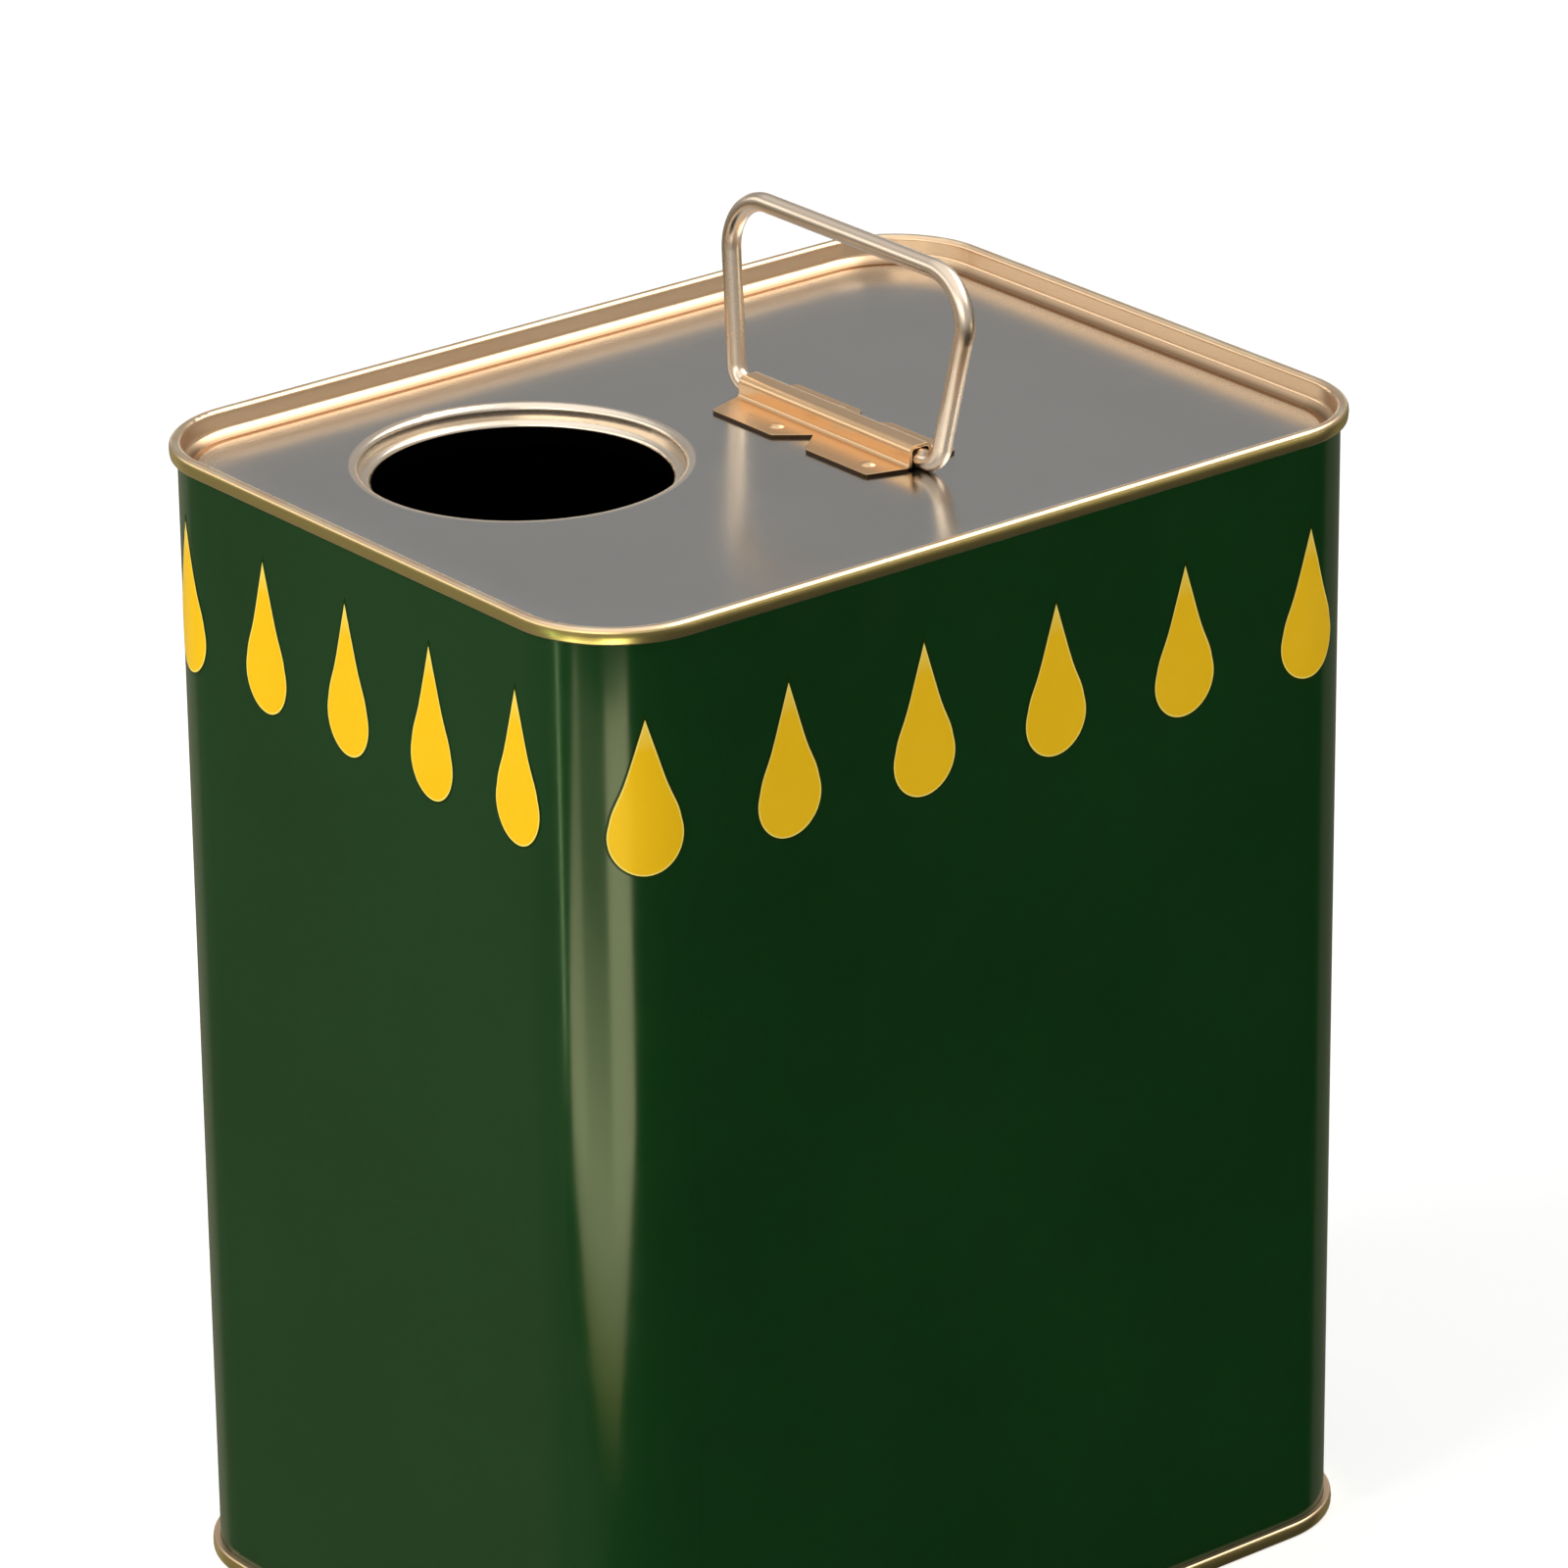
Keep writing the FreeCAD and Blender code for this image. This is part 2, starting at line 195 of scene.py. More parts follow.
def lacqueredTinplate():
    material, tree, shader, place = newMaterial("stoneFinishTinplate")
    lacquer, pourRim = tinplate["lacquer"], tinplate["pourRim"]
    spot = place.outputs["Object"]
    stretch = (tinplate["grainWidth"] / tinplate["grainLength"], 1, 1)
    grain = mottle(tree, spot, tinplate["grainWidth"], 3.0, stretch)
    blotch = mottle(tree, spot, tinplate["blotch"], 3.0)
    sheet = blendColours(tree, blotch, linear(tinplate["panelDull"]), linear(tinplate["panel"]))
    across = addNode(tree, "ShaderNodeVectorMath", {0: spot, 1: (1, 1, 0)}, operation="MULTIPLY")
    fromPour = addNode(tree, "ShaderNodeVectorMath", {0: across.outputs[0], 1: (pour.x, pour.y, 0)},
                       operation="DISTANCE").outputs["Value"]
    height = addNode(tree, "ShaderNodeSeparateXYZ", {0: spot}).outputs[2]
    overMiddle = combine(tree, "SUBTRACT", height, tinHeight / 2)
    onTop = combine(tree, "GREATER_THAN", overMiddle, 0.0)
    rim = between(tree, fromPour, pourRim["radius"], pourRim["radius"] - pourRim["edge"])
    rim = combine(tree, "MULTIPLY", rim, onTop)
    panel = blendColours(tree, rim, sheet, linear(pourRim["colour"]))
    out = outFromBody(tree, spot)
    lacquered = between(tree, out, -lacquer["inset"] - lacquer["edge"], -lacquer["inset"])
    fromMiddle = combine(tree, "ABSOLUTE", overMiddle)
    crown = between(tree, fromMiddle, tinHeight / 2 - lacquer["crown"], tinHeight / 2)
    wear = between(tree, mottle(tree, spot, lacquer["rubbing"], 4.0), *lacquer["rubbed"])
    rubbed = combine(tree, "MULTIPLY", crown, wear)
    # the seam's outer wall takes a greener, more saturated gold than the crown and countersink, though the
    # lacquer is one: a painted reflection tint for the darker surroundings that wall mirrors
    outer = between(tree, out, *lacquer["outerFrom"])
    gold = blendColours(tree, outer, linear(lacquer["inner"]), linear(lacquer["outer"]))
    gold = blendColours(tree, rubbed, gold, linear(lacquer["pale"]))
    # painted shade: the lacquer darkened brown in a thin band at the foot of the countersink wall, the shade
    # in its crease
    foot = panelTop - tinHeight / 2
    footStart, footEnd = (foot + rise for rise in lacquer["foot"])
    paintedFootShade = between(tree, fromMiddle, footStart, footEnd, 0.0, lacquer["footShadeShare"])
    gold = blendColours(tree, paintedFootShade, gold, linear(lacquer["footShade"]))
    outside = blendColours(tree, lacquered, panel, gold)

    # the dark side, painted shade: near black on the bore below the rim and on the faces that look into the
    # tin
    boreTop = panelTop - pourRim["boreTop"]
    depth = between(tree, height, boreTop, boreTop - pourRim["boreEdge"])
    boreShade = combine(tree, "MULTIPLY", depth, combine(tree, "LESS_THAN", fromPour, pourRim["radius"]))
    boreShade = combine(tree, "MULTIPLY", boreShade, onTop)
    facing = addNode(tree, "ShaderNodeNewGeometry").outputs
    level = addNode(tree, "ShaderNodeSeparateXYZ", {0: facing["True Normal"]}).outputs[2]
    turnedIn = combine(tree, "LESS_THAN", combine(tree, "MULTIPLY", level, overMiddle), -tinHeight / 6)
    within = combine(tree, "MULTIPLY", turnedIn, combine(tree, "LESS_THAN", out, -lacquer["inset"]))
    hidden = combine(tree, "MAXIMUM", boreShade, within)
    colour = blendColours(tree, hidden, outside, linear(pourRim["inside"]))

    panelMetal = between(tree, rim, 0.0, 1.0, 1.0, pourRim["metal"])
    metal = blendValues(tree, lacquered, panelMetal, lacquer["metal"])
    satin = between(tree, grain, *noiseMiddle, *tinplate["panelRoughness"])
    drawn = between(tree, out, *tinplate["drawn"], 0.0, tinplate["drawnRoughness"])
    stretched = combine(tree, "ADD", satin, drawn)
    rimSatin = blendValues(tree, rim, stretched, pourRim["roughness"])
    gloss = blendValues(tree, lacquered, rimSatin, lacquer["roughness"])
    flatFace = combine(tree, "GREATER_THAN", combine(tree, "ABSOLUTE", level), tinplate["levelFrom"])
    plain = addNode(tree, "ShaderNodeMix", {0: flatFace, 4: facing["Normal"], 5: facing["True Normal"]},
                    data_type="VECTOR").outputs[1]
    scratch = addNode(tree, "ShaderNodeBump", {
        "Height": grain, "Strength": tinplate["grainShare"], "Distance": tinplate["grainDepth"],
        "Normal": plain})
    feed(tree, shader, {
        "Base Color": colour, "Metallic": metal, "Roughness": gloss, "Normal": scratch.outputs[0]})
    return material


# Gold lacquered strip steel, pressed: warm orange metal with die lines along its length,
# bare steel where the sheet was cut, painted dark as shade along the edge, and edges rounded by the shears
strip = dict(gold="E8C49A", goldDeep="E0B98C", cut="3A2C1E", sheet=0.5 * mm, cutFrom=0.8, steep=(0.5, 0.3),
             dieLine=0.25 * mm, dieLength=20 * mm, dieDepth=0.003 * mm, dieShare=0.15,
             roughness=(0.28, 0.35), edgeRadius=0.12 * mm)


def goldStrip():
    material, tree, shader, place = newMaterial("goldLacqueredStrip")
    spot = place.outputs["Object"]
    lines = mottle(tree, spot, strip["dieLine"], 2.0, (1, strip["dieLine"] / strip["dieLength"], 1))
    gold = blendColours(tree, lines, linear(strip["goldDeep"]), linear(strip["gold"]))
    height = addNode(tree, "ShaderNodeSeparateXYZ", {0: spot}).outputs[2]
    upward = addNode(tree, "ShaderNodeSeparateXYZ", {0: place.outputs["Normal"]}).outputs[2]
    steep = between(tree, combine(tree, "ABSOLUTE", upward), *strip["steep"])
    inSheet = between(tree, height, panelTop + strip["sheet"], panelTop + strip["cutFrom"] * strip["sheet"])
    # cut edges: bare steel, darkened as painted shade under the sheet's edge
    cut = combine(tree, "MULTIPLY", steep, inSheet)
    colour = blendColours(tree, cut, gold, linear(strip["cut"]))
    gloss = between(tree, lines, *noiseMiddle, *strip["roughness"])
    worn = addNode(tree, "ShaderNodeBevel", {"Radius": strip["edgeRadius"]}, samples=6)
    press = addNode(tree, "ShaderNodeBump", {
        "Height": lines, "Strength": strip["dieShare"], "Distance": strip["dieDepth"],
        "Normal": worn.outputs[0]})
    feed(tree, shader, {"Base Color": colour, "Roughness": gloss, "Normal": press.outputs[0]})
    shader.inputs["Metallic"].default_value = 1.0
    return material


# Drawn steel wire, tinned and lacquered: pale warm metal, smooth, with small pits and dull patches
wire = dict(bright="E8D7C4", dull="DDC9B2", pit=0.5 * mm, pitDepth=0.006 * mm, pitShare=0.05, patch=7 * mm,
            roughness=(0.33, 0.26))


def tinnedWire():
    material, tree, shader, place = newMaterial("tinnedDrawnWire")
    spot = place.outputs["Object"]
    patch = mottle(tree, spot, wire["patch"], 4.0)
    colour = blendColours(tree, patch, linear(wire["dull"]), linear(wire["bright"]))
    gloss = between(tree, patch, *noiseMiddle, *wire["roughness"])
    pits = addNode(tree, "ShaderNodeBump", {
        "Height": mottle(tree, spot, wire["pit"]),
        "Strength": wire["pitShare"], "Distance": wire["pitDepth"]})
    feed(tree, shader, {"Base Color": colour, "Roughness": gloss, "Normal": pits.outputs[0]})
    shader.inputs["Metallic"].default_value = 1.0
    return material


# Dried latex sealing compound: matt grey, faintly grainy
compound = dict(light="6A665F", dark="57544E", grain=0.4 * mm, grainSpan=(0.2, 0.8), roughness=(0.7, 0.9))


def dryLatex():
    material, tree, shader, place = newMaterial("driedLatexCompound")
    grain = mottle(tree, place.outputs["Object"], compound["grain"])
    colour = blendColours(tree, grain, linear(compound["dark"]), linear(compound["light"]))
    gloss = between(tree, grain, *compound["grainSpan"], *compound["roughness"])
    feed(tree, shader, {"Base Color": colour, "Roughness": gloss})
    return material


# Yellow printing ink under clear varnish: flat golden colour, paler in a thin key line at its edge
# and towards the tip, where the film thins out, with a fine dark trap line round it
ink = dict(gold="F5C400", goldDeep="F0BB00", pale="F4DC6C", trap="1B2F04", toneSize=12 * mm,
           keyLine=(0.954, 0.970), trapLine=(0.996, 1.004), thinTip=(0.72, 1.0), tipShare=0.7,
           roughness=(0.22, 0.28), specular=0.16)


def yellowInk():
    material, tree, shader, place = newMaterial("yellowPrintingInk")
    spot = place.outputs["Object"]
    tone = mottle(tree, spot, ink["toneSize"], 3.0)
    gold = blendColours(tree, tone, linear(ink["goldDeep"]), linear(ink["gold"]))
    reach = addNode(tree, "ShaderNodeAttribute", attribute_name="inkReach").outputs["Fac"]
    edge = between(tree, reach, *ink["keyLine"])
    toTip = addNode(tree, "ShaderNodeAttribute", attribute_name="inkTip").outputs["Fac"]
    thin = combine(tree, "MAXIMUM", edge, between(tree, toTip, *ink["thinTip"], 0.0, ink["tipShare"]))
    printed = blendColours(tree, thin, gold, linear(ink["pale"]))
    outside = between(tree, reach, *ink["trapLine"])
    feed(tree, shader, {
        "Base Color": blendColours(tree, outside, printed, linear(ink["trap"])),
        "Roughness": between(tree, tone, *noiseMiddle, *ink["roughness"])})
    shader.inputs["Specular IOR Level"].default_value = ink["specular"]
    return material


finishes = {
    "body_shell": greenEnamel(),
    "handle_bracket": goldStrip(),
    "wire_handle": tinnedWire(),
}
endFinish = lacqueredTinplate()
sealFinish = dryLatex()
for nodeName in ("top_end", "bottom_end"):
    finishes[nodeName] = endFinish
for nodeName in ("top_seam_compound", "bottom_seam_compound"):
    finishes[nodeName] = sealFinish
for nodeName, finish in finishes.items():
    nodes[nodeName].data.materials[0] = finish
print("finishes set on", len(finishes), "nodes")

# Row of printed drops round the body, a round bowl with two straight sides up to a tip.
# They are drawn flat along a strip and then wrapped round the body's outline.
drops = dict(radius=5.55 * mm, tip=16.7 * mm, sideBow=0.03, film=0.04 * mm, trap=1.06, around=48, rings=8,
             weld=0.002 * mm, cornerSteps=40, sharpAngle=40)
# runs of drops along the strip, as the print lies: a little out of square, and narrower on the left side
drops["runs"] = {
    "front": dict(start=248.1 * mm, gap=23.32 * mm, count=6, height=142.0 * mm, rise=-0.0143, width=0.97),
    "left": dict(start=228.1 * mm, gap=-18.96 * mm, count=5, height=143.6 * mm, rise=-0.0210, width=0.84),
    "hidden": dict(count=11, width=0.92),
}


def dropRowTree(finish):
    tree = bpy.data.node_groups.new("dropRow", "GeometryNodeTree")
    face = tree.interface
    face.new_socket("Geometry", in_out="INPUT", socket_type="NodeSocketGeometry")
    for name in ("Start", "Gap", "Bowl Height", "Rise", "Width", "Bowl Radius", "Tip Height", "Side Bow",
                 "Trap", "Film", "Body Width", "Body Depth", "Corner Radius"):
        face.new_socket(name, in_out="INPUT", socket_type="NodeSocketFloat")
    for name in ("Count", "Around", "Rings"):
        face.new_socket(name, in_out="INPUT", socket_type="NodeSocketInt")
    face.new_socket("Geometry", in_out="OUTPUT", socket_type="NodeSocketGeometry")
    given = addNode(tree, "NodeGroupInput").outputs

    # one flat drop: a disc of rings, stretched out to the tip where the straight sides run
    grid = addNode(tree, "GeometryNodeMeshGrid", {
        "Size X": 2 * math.pi, "Size Y": 1.0,
        "Vertices X": given["Around"], "Vertices Y": given["Rings"]}).outputs["Mesh"]
    here = addNode(tree, "ShaderNodeSeparateXYZ", {0: addNode(tree, "GeometryNodeInputPosition").outputs[0]})
    turn = here.outputs[0]
    fromRim = combine(tree, "SUBTRACT", 0.5, here.outputs[1])
    share = combine(tree, "SUBTRACT", 1.0, combine(tree, "MULTIPLY", fromRim, fromRim))
    reach = combine(tree, "MULTIPLY", share, given["Trap"])
    sideAngle = combine(tree, "ARCCOSINE", combine(tree, "DIVIDE", given["Bowl Radius"], given["Tip Height"]))
    short = combine(tree, "SUBTRACT", sideAngle, combine(tree, "ABSOLUTE", turn))
    lean = combine(tree, "MAXIMUM", short, 0.0)
    wholeTurn = combine(tree, "MULTIPLY", combine(tree, "DIVIDE", lean, sideAngle), 2 * math.pi)
    bow = combine(tree, "MULTIPLY", combine(tree, "SINE", wholeTurn), given["Side Bow"])
    bowed = combine(tree, "MULTIPLY", given["Bowl Radius"], combine(tree, "ADD", bow, 1.0))
    outline = combine(tree, "DIVIDE", bowed, combine(tree, "COSINE", lean))
    arm = combine(tree, "MULTIPLY", outline, reach)
    climb = combine(tree, "MULTIPLY", arm, combine(tree, "COSINE", turn))
    aside = combine(tree, "MULTIPLY", arm, combine(tree, "SINE", turn))
    flatSpot = addNode(tree, "ShaderNodeCombineXYZ", {
        0: combine(tree, "MULTIPLY", aside, given["Width"]), 2: climb})
    marks = {"inkReach": reach, "inkTip": combine(tree, "DIVIDE", climb, given["Tip Height"])}
    marked = grid
    for name, value in marks.items():
        marked = addNode(tree, "GeometryNodeStoreNamedAttribute", {
            "Geometry": marked, "Name": name, "Value": value}, data_type="FLOAT", domain="POINT").outputs[0]
    flatDrop = addNode(tree, "GeometryNodeSetPosition", {"Geometry": marked, "Position": flatSpot.outputs[0]})

    # its thickness: the front raised by the film, a back turned round, and the edge between them
    disc = addNode(tree, "GeometryNodeMergeByDistance", {
        "Geometry": flatDrop.outputs[0], "Distance": drops["weld"]})
    front = addNode(tree, "GeometryNodeExtrudeMesh", {
        "Mesh": disc.outputs[0], "Offset Scale": given["Film"], "Individual": False})
    back = addNode(tree, "GeometryNodeFlipFaces", {"Mesh": disc.outputs[0]})
    halves = addNode(tree, "GeometryNodeJoinGeometry", {0: back.outputs[0]})
    tree.links.new(front.outputs[0], halves.inputs[0])
    drop = addNode(tree, "GeometryNodeMergeByDistance", {
        "Geometry": halves.outputs[0], "Distance": drops["weld"]})

    # the row along the strip
    first = addNode(tree, "ShaderNodeCombineXYZ", {0: given["Start"], 2: given["Bowl Height"]})
    step = addNode(tree, "ShaderNodeCombineXYZ", {
        0: given["Gap"], 2: combine(tree, "MULTIPLY", given["Gap"], given["Rise"])})
    line = addNode(tree, "GeometryNodeMeshLine", {
        "Count": given["Count"], "Start Location": first.outputs[0], "Offset": step.outputs[0]})
    row = addNode(tree, "GeometryNodeInstanceOnPoints", {
        "Points": line.outputs[0], "Instance": drop.outputs[0]})
    flatRow = addNode(tree, "GeometryNodeRealizeInstances", {0: row.outputs[0]})

    # the body's outline, a film's thickness further out
    twice = combine(tree, "MULTIPLY", given["Film"], 2.0)
    outlineSize = {"Width": combine(tree, "ADD", given["Body Width"], twice),
                   "Height": combine(tree, "ADD", given["Body Depth"], twice)}
    frameCurve = addNode(tree, "GeometryNodeCurvePrimitiveQuadrilateral", outlineSize)
    rounded = addNode(tree, "GeometryNodeFilletCurve", {
        "Curve": frameCurve.outputs[0], "Count": drops["cornerSteps"],
        "Radius": combine(tree, "ADD", given["Corner Radius"], given["Film"])}, mode="POLY")
    girth = addNode(tree, "GeometryNodeCurveLength", {0: rounded.outputs[0]}).outputs[0]
    along = addNode(tree, "ShaderNodeSeparateXYZ", {0: addNode(tree, "GeometryNodeInputPosition").outputs[0]})
    sample = addNode(tree, "GeometryNodeSampleCurve", {
        "Curves": rounded.outputs[0],
        "Length": combine(tree, "FLOORED_MODULO", along.outputs[0], girth)}, mode="LENGTH")
    wall = addNode(tree, "ShaderNodeSeparateXYZ", {0: sample.outputs["Position"]})
    onFilm = addNode(tree, "ShaderNodeCombineXYZ", {
        0: wall.outputs[0], 1: wall.outputs[1], 2: along.outputs[2]})
    inward = addNode(tree, "ShaderNodeVectorMath", {0: (0, 0, 1), 1: sample.outputs["Tangent"]},
                     operation="CROSS_PRODUCT")
    sunk = combine(tree, "SUBTRACT", given["Film"], combine(tree, "ABSOLUTE", along.outputs[1]))
    onWall = addNode(tree, "ShaderNodeVectorMath", {0: inward.outputs[0], 1: sunk, 2: onFilm.outputs[0]},
                     operation="MULTIPLY_ADD")
    wrapped = addNode(tree, "GeometryNodeSetPosition", {
        "Geometry": flatRow.outputs[0], "Position": onWall.outputs[0]})
    smooth = addNode(tree, "GeometryNodeSetShadeSmooth", {"Geometry": wrapped.outputs[0]})
    both = addNode(tree, "GeometryNodeJoinGeometry", {0: given["Geometry"]})
    tree.links.new(smooth.outputs[0], both.inputs[0])
    inked = addNode(tree, "GeometryNodeSetMaterial", {"Geometry": both.outputs[0], "Material": finish})
    addNode(tree, "NodeGroupOutput", {0: inked.outputs[0]})
    return tree


def printedDrops():
    finish = yellowInk()
    tree = dropRowTree(finish)
    sockets = {item.name: item.identifier for item in tree.interface.items_tree if item.in_out == "INPUT"}
    runs = drops["runs"]

    # the hidden run is spread evenly from the last front drop round to the last left one
    girth = 4 * (halfWidth + halfDepth - 2 * cornerRadius) + 2 * math.pi * cornerRadius
    lastSpots = [(run["start"] + run["gap"] * (run["count"] - 1),
                  run["height"] + run["gap"] * run["rise"] * (run["count"] - 1))
                 for run in (runs["front"], runs["left"])]
    (lastFront, lowEnd), (lastLeft, highEnd) = lastSpots
    hidden = runs["hidden"]
    span = lastLeft + girth - lastFront
    hidden["gap"] = span / (hidden["count"] + 1)
    hidden["rise"] = (highEnd - lowEnd) / span
    hidden["start"] = lastFront + hidden["gap"]
    hidden["height"] = lowEnd + hidden["gap"] * hidden["rise"]

    base = bpy.data.objects.new("dropStrip", bpy.data.meshes.new("dropStrip"))
    bpy.context.scene.collection.objects.link(base)
    for run in runs.values():
        row = base.modifiers.new("dropRow", "NODES")
        row.node_group = tree
        settings = {"Start": run["start"], "Gap": run["gap"], "Count": run["count"],
                    "Bowl Height": run["height"], "Rise": run["rise"], "Width": run["width"],
                    "Bowl Radius": drops["radius"], "Tip Height": drops["tip"], "Side Bow": drops["sideBow"],
                    "Trap": drops["trap"], "Film": drops["film"],
                    "Body Width": 2 * halfWidth, "Body Depth": 2 * halfDepth, "Corner Radius": cornerRadius,
                    "Around": drops["around"] + 1, "Rings": drops["rings"] + 1}
        for name, value in settings.items():
            row[sockets[name]] = value
    graph = bpy.context.evaluated_depsgraph_get()
    mesh = bpy.data.meshes.new_from_object(base.evaluated_get(graph))
    bpy.data.objects.remove(base)
    mesh.set_sharp_from_angle(angle=math.radians(drops["sharpAngle"]))
    piece = bpy.data.objects.new("printed_drops", mesh)
    bpy.context.scene.collection.objects.link(piece)
    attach(piece, "tin")
    count = sum(run["count"] for run in runs.values())
    print("drops printed:", count, "with", len(mesh.polygons), "faces")


printedDrops()

# Pale floor: a sheet of white acrylic lit softly from below, kept out of the reflections
stage = dict(reach=6.0, pale="FAFAF9", paleDeep="F5F5F4", patch=120 * mm, roughness=0.9, specular=0.1,
             backlight=0.75)


def paleFloor():
    material, tree, shader, place = newMaterial("paleAcrylicFloor")
    patch = mottle(tree, place.outputs["Object"], stage["patch"])
    colour = blendColours(tree, patch, linear(stage["paleDeep"]), linear(stage["pale"]))
    tree.links.new(colour, shader.inputs["Base Color"])
    shader.inputs["Roughness"].default_value = stage["roughness"]
    shader.inputs["Specular IOR Level"].default_value = stage["specular"]
    shader.inputs["Emission Color"].default_value = linear(stage["pale"])
    shader.inputs["Emission Strength"].default_value = stage["backlight"]
    reach = stage["reach"]
    corners = [(-reach, -reach, 0), (reach, -reach, 0), (reach, reach, 0), (-reach, reach, 0)]
    mesh = bpy.data.meshes.new("floor")
    mesh.from_pydata(corners, [], [(0, 1, 2, 3)])
    mesh.materials.append(material)
    floor = bpy.data.objects.new("floor", mesh)
    bpy.context.scene.collection.objects.link(floor)
    floor.visible_glossy = False


paleFloor()

# Soft boxes, each at a bearing (0 is +Y, 90 is +X) and a rise, both in degrees, and a distance in metres
# from the middle of the tin's top or from its own spot. One lights matt surfaces, the others show in gloss.
softBoxes = {
    "keyLeft": dict(bearing=-82, rise=31, distance=1.25, size=(0.9, 0.9), glow=3.2, tint="FFFDF8",
                    gloss=False),
    "backLeftCard": dict(bearing=-60, rise=22, distance=1.5, size=(2.5, 0.5), glow=1.4, tint="FFFCF6"),
    "rightTopBox": dict(bearing=115, rise=50, distance=1.5, size=(1.7, 0.8), glow=3.2, tint="FFFDF8"),
    "backdropStrip": dict(bearing=38, rise=3, distance=1.5, size=(1.6, 0.2), glow=1.3, tint="FFFFFF"),
    "frontLowCard": dict(bearing=141, rise=-5, distance=1.2, size=(0.7, 0.14), glow=1.5, tint="FFF6D8"),
    "keyGlint": dict(bearing=-122, rise=23, distance=1.3, size=(0.95, 0.5), glow=2.0, tint="FFFCF4"),
    "cornerLine": dict(bearing=-82.4, rise=0, distance=0.191, size=(0.012, 0.09), glow=7.0, tint="D7FFB6",
                       about=nearCorner + Vector((0, 0, 74 * mm))),
}


def addSoftBox(name, box):
    lamp = bpy.data.lights.new(name, "AREA")
    lamp.shape = "RECTANGLE"
    lamp.size, lamp.size_y = box["size"]
    lamp.energy = box["glow"] * math.pi * lamp.size * lamp.size_y
    lamp.color = linear(box["tint"])[:3]
    bearing, rise = math.radians(box["bearing"]), math.radians(box["rise"])
    level = math.cos(rise)
    outward = Vector((math.sin(bearing) * level, math.cos(bearing) * level, math.sin(rise)))
    about = box.get("about", Vector((0, 0, tinHeight)))
    holder = bpy.data.objects.new(name, lamp)
    facing = (-outward).to_track_quat("-Z", "Y").to_matrix().to_4x4()
    holder.matrix_world = Matrix.Translation(about + outward * box["distance"]) @ facing
    holder.visible_camera = False
    holder.visible_glossy = box.get("gloss", True)
    holder.visible_diffuse = not holder.visible_glossy
    bpy.context.scene.collection.objects.link(holder)


for boxName, box in softBoxes.items():
    addSoftBox(boxName, box)

# Card close to the near corner, lit through a gel: a bright strip on its right, a dim middle and a half lit
# left strip, even near its foot, where it narrows. Lengths lie to the left of the corner and above the floor.
cornerCard = dict(bearing=-131, distance=126 * mm, left=160 * mm, right=-70 * mm, top=125 * mm, foot=-12 * mm,
                  soft=3 * mm, glow=4.2, tint="FFFCC4", footTint="FFEE90", middle=0.17, leftStrip=0.5)
# where the card's parts change: each pair is a span of heights, or of lengths to the left
cornerCard["spans"] = dict(rightHeights=(-6 * mm, 45 * mm), rightEnds=(6 * mm, -49 * mm),
                           footHeights=(-6 * mm, 25 * mm), footEnds=(45 * mm, 118 * mm),
                           taperHeights=(45 * mm, 110 * mm), taper=40 * mm,
                           middleHeights=(86 * mm, 26 * mm), middleFrom=(-2 * mm, 6 * mm),
                           leftHeights=(90 * mm, 36 * mm), leftFrom=(60 * mm, 68 * mm),
                           topFade=(120 * mm, 112 * mm), footFade=(-8 * mm, 36 * mm),
                           footTint=(4 * mm, 22 * mm))


def addCornerCard():
    material, tree, shader, place = newMaterial("gelCard")
    aside, height = addNode(tree, "ShaderNodeSeparateXYZ", {0: place.outputs["Object"]}).outputs[:2]
    soft, spans = cornerCard["soft"], cornerCard["spans"]
    rightEnd = between(tree, height, *spans["rightHeights"], *spans["rightEnds"])
    narrowFoot = between(tree, height, *spans["footHeights"], *spans["footEnds"])
    taper = between(tree, height, *spans["taperHeights"], 0.0, spans["taper"])
    leftEnd = combine(tree, "SUBTRACT", narrowFoot, taper)
    insideRight = between(tree, combine(tree, "SUBTRACT", aside, rightEnd), -soft, soft)
    insideLeft = between(tree, combine(tree, "SUBTRACT", leftEnd, aside), -soft, soft)
    middle = between(tree, height, *spans["middleHeights"], cornerCard["middle"], 1.0)
    leftStrip = between(tree, height, *spans["leftHeights"], cornerCard["leftStrip"], 1.0)
    inner = blendValues(tree, between(tree, aside, *spans["middleFrom"]), 1.0, middle)
    level = blendValues(tree, between(tree, aside, *spans["leftFrom"]), inner, leftStrip)
    topFade = between(tree, height, *spans["topFade"])
    footFade = between(tree, height, *spans["footFade"], 0.0, cornerCard["glow"])
    for factor in (insideRight, insideLeft, topFade, footFade):
        level = combine(tree, "MULTIPLY", level, factor)
    tint = blendColours(tree, between(tree, height, *spans["footTint"]),
                        linear(cornerCard["footTint"]), linear(cornerCard["tint"]))
    feed(tree, shader, {"Emission Strength": level, "Emission Color": tint})
    shader.inputs["Base Color"].default_value = (0, 0, 0, 1)
    left, right, top, foot = (cornerCard[side] for side in ("left", "right", "top", "foot"))
    mesh = bpy.data.meshes.new("cornerCard")
    mesh.from_pydata([(right, foot, 0), (left, foot, 0), (left, top, 0), (right, top, 0)], [], [(0, 1, 2, 3)])
    mesh.materials.append(material)
    card = bpy.data.objects.new("cornerCard", mesh)
    bearing = math.radians(cornerCard["bearing"])
    outward = Vector((math.sin(bearing), math.cos(bearing), 0))
    axes = Matrix((Vector((outward.y, -outward.x, 0)), Vector((0, 0, 1)), -outward)).transposed().to_4x4()
    card.matrix_world = Matrix.Translation(nearCorner + outward * cornerCard["distance"]) @ axes
    card.visible_camera = card.visible_diffuse = card.visible_shadow = False
    bpy.context.scene.collection.objects.link(card)


addCornerCard()

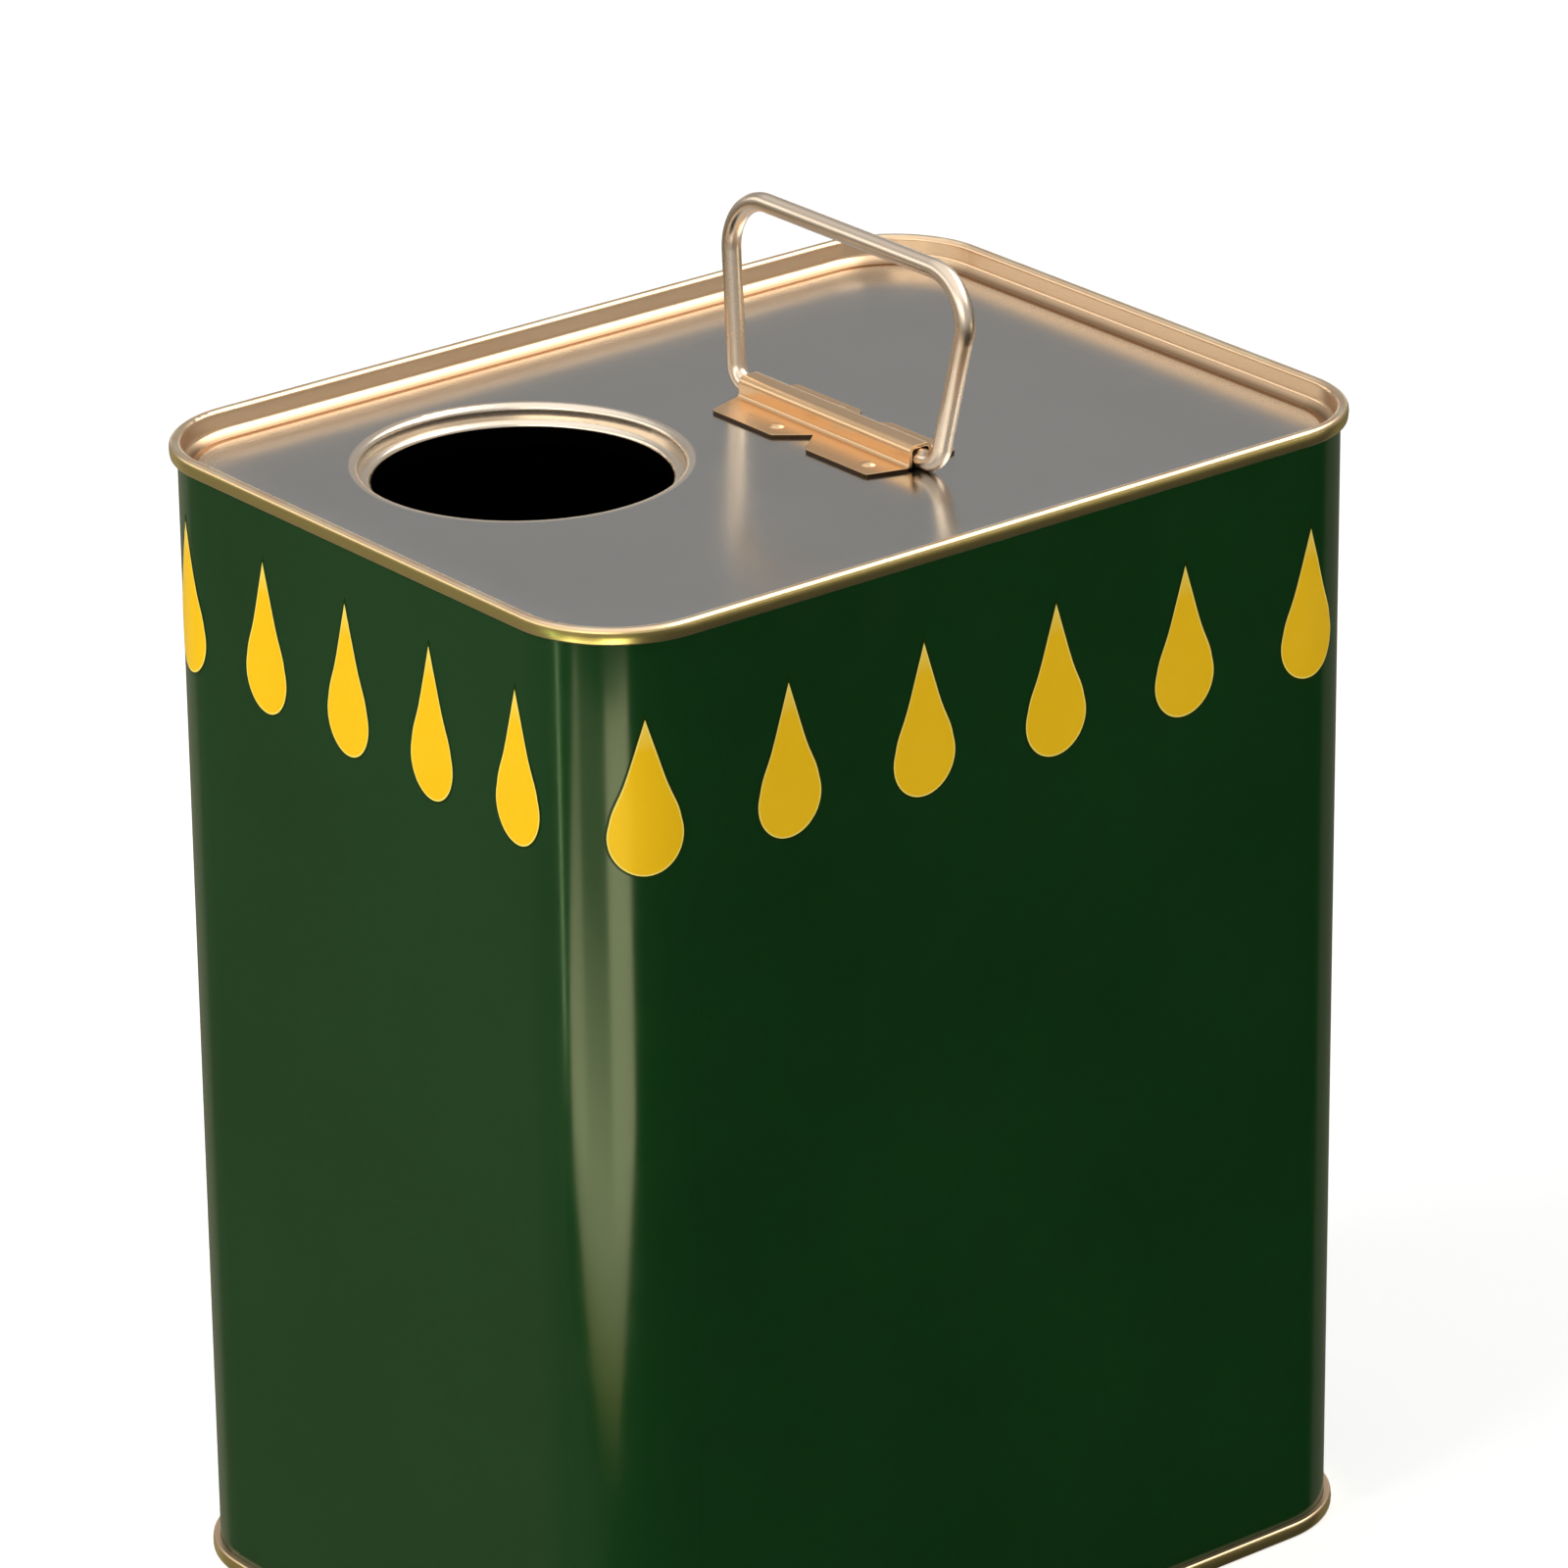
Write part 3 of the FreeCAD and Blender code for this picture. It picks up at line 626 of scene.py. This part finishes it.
# The room: white for the eye and for matt surfaces, and for gloss a grey room with a pale floor behind
room = dict(white=1.0, fill=0.29, back=0.345, front=0.6, top=0.8, ground="FFF6D7", far=0.17, left=0.17,
            away=(0.688, 0.725, 0.0), leftward=(-0.725, 0.688, 0.0), farSpan=(0.43, 0.53),
            leftSpan=(0.2, 0.6), wallSpan=(0.3, -0.8), topSpan=(0.52, 0.8), horizon=(-0.20, 0.15))


def addRoom():
    world = bpy.data.worlds.new("whiteStudio")
    world.use_nodes = True
    tree = world.node_tree
    tree.nodes.clear()
    toward = addNode(tree, "ShaderNodeTexCoord").outputs["Generated"]
    rise = addNode(tree, "ShaderNodeSeparateXYZ", {0: toward}).outputs[2]
    behind, aside = (addNode(tree, "ShaderNodeVectorMath", {0: toward, 1: room[way]},
                             operation="DOT_PRODUCT").outputs["Value"] for way in ("away", "leftward"))
    far = between(tree, behind, *room["farSpan"], 0.0, room["far"])
    ground = combine(tree, "ADD", far, between(tree, aside, *room["leftSpan"], 0.0, room["left"]))
    walls = between(tree, behind, *room["wallSpan"], room["back"], room["front"])
    upper = combine(tree, "ADD", walls, between(tree, rise, *room["topSpan"], 0.0, room["top"]))
    share = between(tree, rise, *room["horizon"])
    seen = blendValues(tree, share, ground, upper)
    warm = blendColours(tree, share, linear(room["ground"]), (1, 1, 1, 1))
    ray = addNode(tree, "ShaderNodeLightPath").outputs
    matt = blendValues(tree, ray["Is Camera Ray"], room["fill"], room["white"])
    strength = blendValues(tree, ray["Is Glossy Ray"], matt, seen)
    tint = blendColours(tree, ray["Is Glossy Ray"], (1, 1, 1, 1), warm)
    glow = addNode(tree, "ShaderNodeBackground", {"Strength": strength, "Color": tint})
    addNode(tree, "ShaderNodeOutputWorld", {"Surface": glow.outputs[0]})
    bpy.context.scene.world = world


addRoom()
bpy.context.scene.view_settings.view_transform = "Standard"
print("stage set")

# The photograph's camera: a long lens, turned and tipped as measured in degrees
view = dict(turn=38.640, tip=22.639, roll=0.633, lens=192.8, sensor=36.0, clip=(0.05, 50.0),
            aim=(8.94 * mm, 6.97 * mm, 112.43 * mm), distance=1.1988)


def addCamera():
    turn, tip, roll = (math.radians(view[key]) for key in ("turn", "tip", "roll"))
    ahead = Vector((math.sin(turn) * math.cos(tip), math.cos(turn) * math.cos(tip), -math.sin(tip)))
    right = Vector((math.cos(turn), -math.sin(turn), 0))
    down = ahead.cross(right)
    rolledRight = right * math.cos(roll) + down * math.sin(roll)
    rolledDown = down * math.cos(roll) - right * math.sin(roll)
    axes = Matrix((rolledRight, -rolledDown, -ahead)).transposed().to_4x4()
    lens = bpy.data.cameras.new("camera")
    lens.lens = view["lens"]
    lens.sensor_width = view["sensor"]
    lens.clip_start, lens.clip_end = view["clip"]
    camera = bpy.data.objects.new("camera", lens)
    camera.matrix_world = Matrix.Translation(Vector(view["aim"]) - ahead * view["distance"]) @ axes
    bpy.context.scene.collection.objects.link(camera)
    bpy.context.scene.camera = camera


addCamera()
